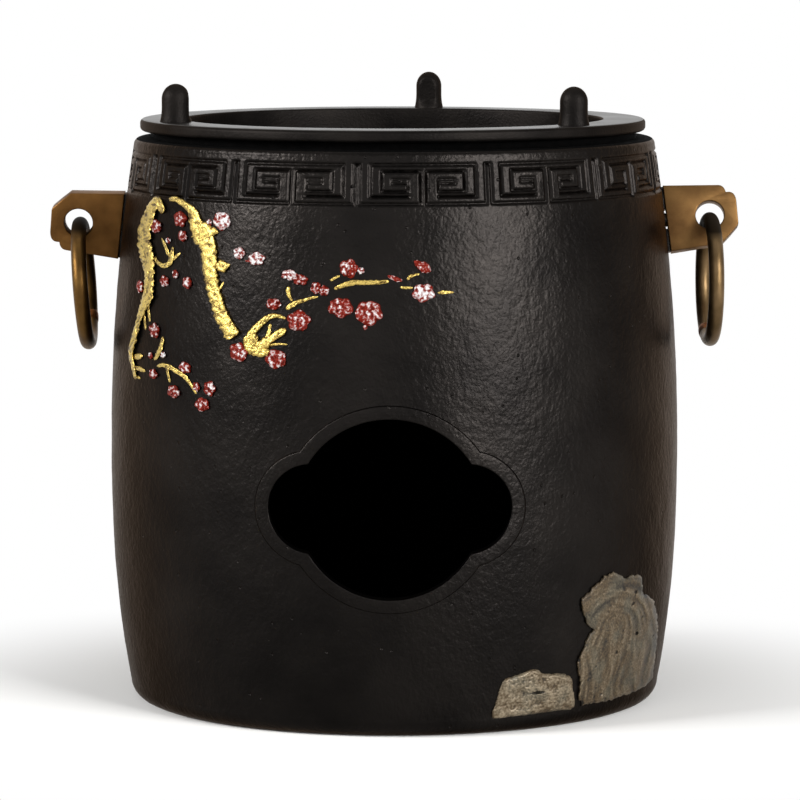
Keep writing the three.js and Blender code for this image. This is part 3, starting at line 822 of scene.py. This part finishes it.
def large_rock_relief(x, z):
    """Height and tone of the large rock: folds that run down it and bend under its top."""
    arch = math.copysign(math.hypot(x - 69, 1.1 * max(z - 31, 0)), x - 69)
    across = arch + 3.2 * noise.noise((x / 15, z / 11, 1.5)) + 0.09 * (z - 20) * math.sin(z / 9)
    folds = noise.noise((across / 1.8, z / 15, 4.2))
    strands = noise.noise((across / 0.7, z / 5, 8.4))
    grain = noise.noise((x / 0.5, z / 0.5, 2.2))
    pit = max(0.0, noise.noise((x / 1.3, z / 1.3, 5.5)) - 0.5)
    rise = 0.85 + 0.22 * (1 - 2 * abs(folds)) + 0.1 * strands + 0.08 * grain - 1.6 * pit
    return rise, 0.3 + 0.2 * (1 - 2.6 * abs(folds)) + 0.24 * strands + 0.22 * grain - 2.5 * pit


def small_rock_relief(x, z):
    """Height and tone of the small rock: broken lumps with a short dark slit."""
    lumps = noise.noise((x / 3.2, z / 2.6, 6.1))
    grit = noise.noise((x / 0.7, z / 0.6, 9.3))
    slit = math.exp(-((x - 45) / 1.6) ** 2 - ((z - 12.3) / 0.35) ** 2)
    return 1.0 + 0.3 * lumps + 0.16 * grit - 1.0 * slit, 0.6 + 0.4 * lumps + 0.5 * grit - 1.5 * slit


stone_light = "a1927a"
stone_brown = "60503a"
stone_dark = "2b2620"
stone_grey = "68604f"
patch_width = 6 * MM
speckle_width = 0.6 * MM
stone_paint, add, place = start_material("rubbed_stone_metallic_paint")
raised = add("Attribute", attribute_name="relief").outputs["Fac"]
speckle = add("TexNoise", {"Vector": place, "Scale": 1 / speckle_width, "Detail": 3.0})
patch = add("TexNoise", {"Vector": place, "Scale": 1 / patch_width, "Detail": 3.0})
both = add("Math", {0: raised, 1: speckle}, operation="ADD")
tone = add("MapRange", {0: both, 1: 0.35, 2: 1.65})
warm = add("ValToRGB", {0: tone}, [(0.1, stone_dark), (0.42, stone_brown), (0.85, stone_light)])
cool = add("ValToRGB", {0: tone}, [(0.1, stone_dark), (0.5, stone_grey), (0.9, stone_light)])
where_cool = add("MapRange", {0: patch, 1: 0.45, 2: 0.62})
colour = add("Mix", {0: where_cool, 6: warm, 7: cool}, data_type="RGBA")
bump = add("Bump", {"Height": speckle, "Strength": 0.7, "Distance": 0.12 * MM})
add("OutputMaterial", {"Surface": add("BsdfPrincipled", {
    "Base Color": colour.outputs[2], "Metallic": 0.35, "Roughness": 0.42, "Normal": bump})})

large_outline = [
    (58.6, 6.3), (57.4, 8.5), (57.7, 11.4), (57.9, 14.4), (57.3, 17.3), (56.9, 20.1), (58, 23.1),
    (59.6, 26.6), (60.7, 29), (61.8, 30.2), (60.1, 31.8), (59.1, 34.6), (58.2, 37.8), (58.1, 40.2),
    (59, 40.9), (60.6, 42.5), (61.8, 43.8), (64.1, 45.4), (65.7, 46.6), (68.1, 47.4), (70, 46.3),
    (72, 45), (74.7, 45.1), (77, 44.4), (77.8, 41.3), (77.9, 38.6), (79.9, 36.8), (81.5, 35),
    (82.3, 32.6), (83, 28.8), (83.3, 24.3), (83, 19.4), (82.6, 16), (82.2, 11.2), (81.6, 8.2),
    (79.5, 7), (75, 6.5), (70.3, 6.1), (65, 6),
]
small_outline = [
    (31, 6.9), (31.8, 9.5), (32.9, 13.4), (34.2, 16.8), (35.4, 17.5), (37.8, 18.3), (40.1, 18.9),
    (42.4, 19.7), (45, 19.5), (46, 18.4), (48.6, 17.8), (51.6, 17.6), (53.9, 16.8), (55.3, 15.6),
    (55.8, 12), (56.2, 10.2), (56, 5.8), (50, 5.6), (43, 5.4), (36, 5.2), (31.4, 5.1),
]
rocks = defaultdict(list)
add_rock(rocks, large_outline, (70.5, 26), large_rock_relief)
add_rock(rocks, small_outline, (44, 11.5), small_rock_relief)
garden_rocks = finish_relief("garden_rocks", rocks, stone_paint, 70)
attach(garden_rocks, "stove")

# Pot ring
# A loose cast-iron ring turned smooth on top, with a spigot that drops into the barrel's mouth and
# three bullet-shaped lugs that a kettle stands on.
ring_bottom = 180.1
ring_thickness = 3.75
ring_edge = 1.3
ring_radius = 79.84
ring_bore = 66.34
ring_shift = -0.5
spigot_round = 0.8
bore_round = 0.8
top_middle = 73
spigot_depth = 5.5
spigot_gap = 0.9
spigot_radius = mouth_radius - spigot_gap
lug_pitch = 72.04
lug_height = 11.8
lug_radius = 4.15
lug_stretch = 1.06
lug_flare = 0.55
lug_flare_height = 4.5
lug_dome = 4.7
lug_flat = 3.5
lug_flat_start = 1.0
lug_flat_blend = 1.2
lug_core = 0.4
lug_angles = (81.4, 201.4, 321.4)
ring_top = ring_bottom + ring_thickness
ring_profile = [
    (ring_bore, ring_bottom - spigot_depth),
    *arc_points((spigot_radius - spigot_round, ring_bottom - spigot_depth + spigot_round),
                spigot_round, -90, 0, 4),
    (spigot_radius, ring_bottom),
    *arc_points((ring_radius - ring_edge, ring_bottom + ring_edge), ring_edge, -90, 0, 8),
    *arc_points((ring_radius - ring_edge, ring_top - ring_edge), ring_edge, 0, 90, 8),
    (top_middle, ring_top),
    *arc_points((ring_bore + bore_round, ring_top - bore_round), bore_round, 90, 180, 5),
    (ring_bore, ring_bottom),
]
ring_sides = 360
ring_points = revolve(ring_profile, ring_sides)
ring_faces = grid_faces(len(ring_profile), ring_sides, close_rows=True)
lug_sides = 48
lug_profile = [
    (lug_core, -ring_thickness / 2), (lug_radius + lug_flare, -ring_thickness / 2),
    *[(lug_radius + lug_flare * (1 - up / lug_flare_height) ** 2, up)
      for up in np.linspace(0, lug_flare_height, 7)],
    *[(lug_radius * across, lug_height - lug_dome * (1 - up))
      for across, up in arc_points((0, 0), 1, 0, 88, 16)],
]
for angle in lug_angles:
    start = len(ring_points)
    lug = revolve(lug_profile, lug_sides)
    lug[:, 0] *= lug_stretch
    above = np.clip((lug[:, 2] - lug_flat_start) / lug_flat_blend, 0, 1)
    flattened = lug[:, 0] * (1 - above) - lug_flat * above
    lug[:, 0] = np.where(lug[:, 0] < -lug_flat, flattened, lug[:, 0])
    around = Matrix.Rotation(math.radians(angle), 4, "Z")
    lug = moved(lug, around @ Matrix.Translation((lug_pitch, 0, ring_top)))
    ring_points = np.concatenate([ring_points, lug])
    ring_faces += grid_faces(len(lug_profile), lug_sides, start, capped=True)
ring_points = ring_points + (ring_shift, 0, 0)

# The top is turned: smoother than the barrel, with a satin sheen that turns pale at a flat angle.
# The edge and the lugs are cast in fine sand and a little rougher. The grain of both is finer than
# the 0.8 mm that it is drawn at here, so that it shows.
ring_grain = 0.8 * MM
cloud_width = 14 * MM
ring_finishes = {
    "turned_iron_satin_black": (("171514", "231f1d"), (0.27, 0.35), (0.7, 0.05), {
        "IOR": 1.45, "Specular IOR Level": 0.4, "Specular Tint": linear("fff4e6")}),
    "ring_casting_fine_sand_black": (("1e1c1b", "292624"), (0.48, 0.58), (1.0, 0.12), {
        "Metallic": 1.0, "Specular Tint": linear("d4c9c1")}),
}
ring_irons = {}
for name, ((black, worn), (smooth, rough), (strength, relief), finish) in ring_finishes.items():
    ring_irons[name], add, place = start_material(name)
    cloud = add("TexNoise", {"Vector": place, "Scale": 1 / cloud_width, "Detail": 4.0})
    grain = add("TexNoise", {"Vector": place, "Scale": 1 / ring_grain, "Detail": 3.0})
    colour = add("ValToRGB", {0: cloud}, [(0.35, black), (0.7, worn)])
    gloss = add("MapRange", {0: cloud, 1: 0.3, 2: 0.7, 3: smooth, 4: rough})
    bump = add("Bump", {"Height": grain, "Strength": strength, "Distance": relief * MM})
    add("OutputMaterial", {"Surface": add("BsdfPrincipled", {
        "Base Color": colour, "Roughness": gloss, "Normal": bump, **finish})})

ring_mesh = make_mesh("pot_ring_casting", ring_points, ring_faces)
pot_ring = make_piece("pot_ring_casting", ring_mesh, ring_irons["ring_casting_fine_sand_black"])
ring_mesh.materials.append(ring_irons["turned_iron_satin_black"])
for face in ring_mesh.polygons:
    face.material_index = int(face.normal.z > 0.8 and face.center.z < (ring_top + 0.1) * MM)
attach(pot_ring, "pot_ring")
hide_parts("pot_ring")


# Charcoal grate
# A flat cast-iron disc with two rows of slots, which drops on the barrel's inner shelf. Fire has
# burnt its black off and pale ash lies in its pores.
grate_radius = 64.84
grate_thickness = 5
grate_bottom = 106.3
slot_width = 6
grate_hole = 3.2
grate_bevel = 0.6
# Each row: how many slots, and where they start and end.
slot_rows = ((8, 12, 31.4), (16, 38.4, 57.8))


def softened_plate(name, loops, thickness, bevel):
    """A flat plate with softened edges, in XY: the first loop is its outline, the rest holes."""
    curve = bpy.data.curves.new(name, "CURVE")
    curve.dimensions = "2D"
    curve.fill_mode = "BOTH"
    curve.extrude = (thickness / 2 - bevel) * MM
    curve.bevel_depth = bevel * MM
    curve.bevel_resolution = 2
    curve.offset = -bevel * MM
    for loop in loops:
        spline = curve.splines.new("POLY")
        spline.points.add(len(loop) - 1)
        for point, (x, y) in zip(spline.points, loop):
            point.co = (x * MM, y * MM, 0, 1)
        spline.use_cyclic_u = True
    holder = bpy.data.objects.new(name, curve)
    mesh = bpy.data.meshes.new_from_object(holder)
    bpy.data.objects.remove(holder)
    return closed_shell(mesh, weld=0.002 * MM)


def slot_outline(start, end, angle):
    """A slot with round ends that lies along a radius."""
    half = slot_width / 2
    far = (end - half) * np.array([math.cos(angle), math.sin(angle)])
    near = (start + half) * np.array([math.cos(angle), math.sin(angle)])
    turn = math.degrees(angle)
    return (arc_points(far, half, turn - 90, turn + 90, 12)
            + arc_points(near, half, turn + 90, turn + 270, 12))


grate_loops = [arc_points((0, 0), grate_radius, 0, 360, 180)[:-1],
               arc_points((0, 0), grate_hole, 0, 360, 28)[:-1]]
for count, start, end in slot_rows:
    for i in range(count):
        grate_loops.append(slot_outline(start, end, 2 * math.pi * (i + 0.5) / count))

fired_grey = "35302c"
ash_pale = "77706a"
pore_width = 1.2 * MM
fired_iron, add, place = start_material("fired_cast_iron_with_ash")
ash = add("TexNoise", {"Vector": place, "Scale": 1 / stain_width, "Detail": 6.0, "Roughness": 0.65})
pores = add("TexNoise", {"Vector": place, "Scale": 1 / pore_width, "Detail": 3.0})
colour = add("ValToRGB", {0: ash}, [(0.4, fired_grey), (0.75, ash_pale)])
bump = add("Bump", {"Height": pores, "Distance": 0.25 * MM})
add("OutputMaterial", {"Surface": add("BsdfPrincipled", {
    "Base Color": colour, "Roughness": 0.75, "IOR": 1.45, "Normal": bump})})
grate_mesh = softened_plate("grate_casting", grate_loops, grate_thickness, grate_bevel)
grate_mesh.transform(Matrix.Translation((0, 0, (grate_bottom + grate_thickness / 2) * MM)))
grate = make_piece("grate_casting", grate_mesh, fired_iron)
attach(grate, "grate")
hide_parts("charcoal_grate")

# Ears
# Cast brass plates with a hole for the ring and a threaded tenon that a washer and a nut hold
# inside. Each stands against two lands cast on the wall. Both are one pattern, turned over, with a
# round and a flat corner. The brass is filed flat and has gone brown with age.
ear_thickness = 4.8
ear_bevel = 0.35
ear_root = 10.7
ear_neck = 9.4
ear_hole = 4.5
ear_stand_off = 0.75
ear_tip = 8.8
ear_tip_half = 3.8
ear_cusp = (5.7, 6.9)
land_thickness = 3.6
land_near = {"right": 3.2, "left": 2}
land_far = 10.4
land_gap = 0.08
land_bevel = 0.25
washer_thickness = 1
nut_thickness = 3.2
tenon_tail = 1.2
thread_pitch = 0.7
thread_depth = 0.3
thread_sides = 40
thread_overlap = 0.3
fit_gap = 0.3


def bent_corner(start, control, end, steps=10):
    """Points on a quadratic curve from start to end that leans towards its control point."""
    t = np.linspace(0, 1, steps + 1)[:, None]
    return ((1 - t) ** 2 * start + 2 * t * (1 - t) * control + t ** 2 * end).tolist()


def ear_outline(side, root, lean):
    """Straight edges from the wall, then a cusped flat corner and a cusped round one."""
    round_end = 1 if side == "right" else -1
    cusp_x, cusp_y = ear_cusp
    flat = [(root + round_end * lean * ear_root, -ear_root), (3, -ear_neck), (cusp_x, -cusp_y),
            (ear_tip - 0.4, -ear_tip_half - 0.4), (ear_tip, -ear_tip_half + 0.4)]
    bulge = bent_corner((ear_tip, ear_tip_half), (ear_tip - 0.2, cusp_y), (cusp_x + 0.7, cusp_y))
    neck = bent_corner((cusp_x, cusp_y), (cusp_x - 0.4, ear_neck), (3, ear_neck))
    outline = [*flat, *bulge, *neck, (root - round_end * lean * ear_root, ear_root)]
    return [(x, round_end * z) for x, z in outline][::round_end]


# Filed brass browned by age: a metal colour well below bright brass, satin, with fine file lines
# half a millimetre apart and cloudy darker patches. The right ear is painted a little paler than
# the left, as painted light.
brass_tones_painted_light = {"left": ("644524", "825c32"), "right": ("694b2d", "8f6c42")}
file_line = 0.5 * MM
brass_cloud = 9 * MM
thread_shade_width = 1.5 * MM
aged_brass_painted_light = {}
for side, (brass_dark, brass_brown) in brass_tones_painted_light.items():
    aged_brass_painted_light[side], add, place = start_material(f"filed_brass_aged_{side}")
    cloud = add("TexNoise", {"Vector": place, "Scale": 1 / brass_cloud, "Detail": 5.0})
    stretched = add("VectorMath", {0: place, 1: (0.06, 1.0, 1.0)}, operation="MULTIPLY")
    lines = add("TexNoise", {"Vector": stretched, "Scale": 1 / file_line, "Detail": 2.0})
    colour = add("ValToRGB", {0: cloud}, [(0.3, brass_dark), (0.62, brass_brown)])
    rough = add("MapRange", {0: cloud, 1: 0.3, 2: 0.7, 3: 0.54, 4: 0.42})
    bump = add("Bump", {"Height": lines, "Strength": 0.7, "Distance": 0.05 * MM})
    add("OutputMaterial", {"Surface": add("BsdfPrincipled", {
        "Base Color": colour, "Metallic": 1.0, "Roughness": rough, "Normal": bump})})

# The tenons are cast with the ears. Their threads are painted nearly black: painted shade for the
# narrow gap between the ear and the wall, where they show.
tenon_shade_brass, add, place = start_material("brass_thread_black_with_soot")
blotches = add("TexNoise", {"Vector": place, "Scale": 1 / thread_shade_width, "Detail": 3.0})
colour = add("ValToRGB", {0: blotches}, [(0.4, "16120e"), (0.75, "4a3a22")])
add("OutputMaterial", {"Surface": add("BsdfPrincipled", {
    "Base Color": colour, "Metallic": 0.5, "Roughness": 0.6})})

for side in ("left", "right"):
    outside = -to_wall
    root = outside + ear_stand_off
    lean = math.tan(math.atan((ear_heights[side] - widest_height) / upper_curve) - ear_tilt)
    spot_face = outside - wall / math.cos(ear_tilt) - spot_depth
    nut_face = spot_face - 2 * fit_gap - washer_thickness
    tail = nut_face - nut_thickness - tenon_tail
    loops = [ear_outline(side, root, lean), arc_points((0, 0), ear_hole, 0, 360, 48)[:-1]]
    plate = softened_plate(f"{side}_ear_plate", loops, ear_thickness, ear_bevel)
    plate.transform(Matrix.Rotation(math.pi / 2, 4, "X"))
    frame_in_metres = ear_frame(side)
    frame_in_metres.translation *= MM
    plate.transform(frame_in_metres)
    ear = make_piece(f"{side}_ear_casting", plate, aged_brass_painted_light[side])
    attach(ear, "stove")
    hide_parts(f"{side}_ear")

    stations = np.arange(tail, root + thread_overlap, thread_pitch / 8)
    phase = (stations[:, None] / thread_pitch + full_turn(thread_sides) / (2 * math.pi)) % 1
    threads = tenon_radius - thread_depth * (1 - np.abs(2 * phase - 1))
    tenon = make_mesh(f"{side}_tenon", *bar_along_x(stations, threads))
    tenon.transform(frame_in_metres)
    ear_tenon = make_piece(f"{side}_ear_tenon", tenon, tenon_shade_brass)
    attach(ear_tenon, "stove")

    face = root - land_gap
    for end, where in ((-1, "lower"), (1, "upper")):
        near = land_near[side]
        buried = outside - wall / 2
        loop = [(buried, end * near), (face - lean * end * near, end * near),
                (face - lean * end * land_far, end * land_far), (buried, end * land_far)]
        land = softened_plate(f"{side}_{where}_land", [loop[::end]], land_thickness, land_bevel)
        land.transform(frame_in_metres @ Matrix.Rotation(math.pi / 2, 4, "X"))
        ear_land = make_piece(f"{side}_{where}_ear_land", land, cast_iron)
        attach(ear_land, "stove")

# Washers and nuts
# Turned brass washers and hexagon nuts hold the ears' tenons inside the wall. The heat inside has
# dulled them and browned them more than the ears.
tarnish_width = 2.5 * MM
dull_brass, add, place = start_material("heat_dulled_brass")
blotches = add("TexNoise", {"Vector": place, "Scale": 1 / tarnish_width, "Detail": 4.0})
colour = add("ValToRGB", {0: blotches}, [(0.35, "4a3722"), (0.65, "8a6a3c")])
bump = add("Bump", {"Height": blotches, "Strength": 0.4, "Distance": 0.05 * MM})
add("OutputMaterial", {"Surface": add("BsdfPrincipled", {
    "Base Color": colour, "Metallic": 1.0, "Roughness": 0.5, "Normal": bump})})
for side in ("left", "right"):
    for part in ("washer", "nut"):
        node = frame["nodes"][f"{side}_ear_{part}"]
        for material_slot in node.material_slots:
            material_slot.material = dull_brass

# Ring handles
# Round brass wire bent to a ring and brazed shut, hung through each ear's hole. Handling keeps the
# wire smooth, and the joint shows as a slightly swollen, redder collar.
handle_radius = 18.8
wire_radius = 2.4
wire_sides = 32
ring_steps = 160
rest_gap = 0.35
handle_turns = {"right": math.radians(3.9), "left": math.radians(0.7)}
handle_leans = {"right": 0, "left": math.radians(4)}
braze_angles = {"right": math.radians(157), "left": math.radians(131)}
braze_reach = math.radians(6)
braze_sunk = 0.12
braze_swell = 0.34
braze_steps = 25

# Drawn brass wire browned by age: a smooth metal with small dull clouds. The right one is painted
# paler, as painted light, and the wire's top is painted dark where it hangs in the ear's hole, as
# painted shade. The brazed joint is redder and rougher.
wire_cloud = 6 * MM
wire_grain = 0.7 * MM
braze_cloud = 1.6 * MM
hole_shade_start = 146 * MM
hole_shade_full = 149 * MM
wire_tones_painted_light = {"left": ("543c20", "78592f"), "right": ("634f32", "8a7151")}
wire_brass_painted_light = {}
for side, (wire_dark, wire_light) in wire_tones_painted_light.items():
    wire_brass_painted_light[side], add, place = start_material(f"drawn_brass_wire_aged_{side}")
    cloud = add("TexNoise", {"Vector": place, "Scale": 1 / wire_cloud, "Detail": 5.0})
    grain = add("TexNoise", {"Vector": place, "Scale": 1 / wire_grain, "Detail": 2.0})
    tone = add("ValToRGB", {0: cloud}, [(0.3, wire_dark), (0.65, wire_light)])
    height = add("SeparateXYZ", {0: place}).outputs["Z"]
    # Painted shade: the wire turns dark and rough towards its top, where it hangs in the ear's
    # hole.
    hole_shade = add("MapRange", {0: height, 1: hole_shade_start, 2: hole_shade_full})
    colour = add("Mix", {0: hole_shade, 6: tone, 7: linear("2a2116")}, data_type="RGBA")
    rough = add("MapRange", {0: hole_shade, 3: 0.42, 4: 0.75})
    bump = add("Bump", {"Height": grain, "Strength": 0.5, "Distance": 0.05 * MM})
    add("OutputMaterial", {"Surface": add("BsdfPrincipled", {
        "Base Color": colour.outputs[2], "Metallic": 1.0, "Roughness": rough, "Normal": bump})})

braze_red, add, place = start_material("brazing_brass_reddened")
cloud = add("TexNoise", {"Vector": place, "Scale": 1 / braze_cloud, "Detail": 4.0})
colour = add("ValToRGB", {0: cloud}, [(0.35, "6b4020"), (0.65, "a8693a")])
bump = add("Bump", {"Height": cloud, "Strength": 0.6, "Distance": 0.15 * MM})
add("OutputMaterial", {"Surface": add("BsdfPrincipled", {
    "Base Color": colour, "Metallic": 1.0, "Roughness": 0.42, "Normal": bump})})


def ring_points_at(angles, wire_radii):
    """Points of a wire that runs round a ring about X, with its own radius at each angle."""
    radius, turn = wire_radii[:, None], full_turn(wire_sides)
    reach = handle_radius + radius * np.cos(turn)
    return turned(reach, angles[:, None], radius * np.sin(turn))[:, [2, 1, 0]]


for side, outward in (("left", -1), ("right", 1)):
    hole_edge = Vector((0, math.copysign(ear_thickness / 2, ear_rolls[side]), -ear_hole))
    hole_edge.rotate(Matrix.Rotation(ear_rolls[side], 3, "X"))
    hinge_height = ear_heights[side] + hole_edge.z + wire_radius + rest_gap
    hang = Matrix.Translation((outward * ear_reach(side), hole_edge.y, hinge_height))
    hang = hang @ Matrix.Rotation(handle_turns[side], 4, "Z")
    hang = hang @ Matrix.Rotation(outward * handle_leans[side], 4, "Y")
    hang = hang @ Matrix.Translation((0, 0, -handle_radius))
    wire = ring_points_at(full_turn(ring_steps), np.full(ring_steps, wire_radius))
    wire_faces = grid_faces(ring_steps, wire_sides, close_rows=True)
    wire_mesh = make_mesh(f"{side}_wire", moved(wire, hang), wire_faces)
    handle = make_piece(f"{side}_ring_handle", wire_mesh, wire_brass_painted_light[side])
    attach(handle, f"{side}_handle")
    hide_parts(f"{side}_ring")

    shares = np.linspace(-1, 1, braze_steps)
    swell = wire_radius - braze_sunk + braze_swell * np.sqrt(np.clip(1 - shares ** 2, 0, 1))
    collar = ring_points_at(braze_angles[side] + braze_reach * shares, swell)
    collar_faces = grid_faces(braze_steps, wire_sides, capped=True)
    collar_mesh = make_mesh(f"{side}_braze", moved(collar, hang), collar_faces)
    braze = make_piece(f"{side}_ring_braze", collar_mesh, braze_red)
    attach(braze, f"{side}_handle")
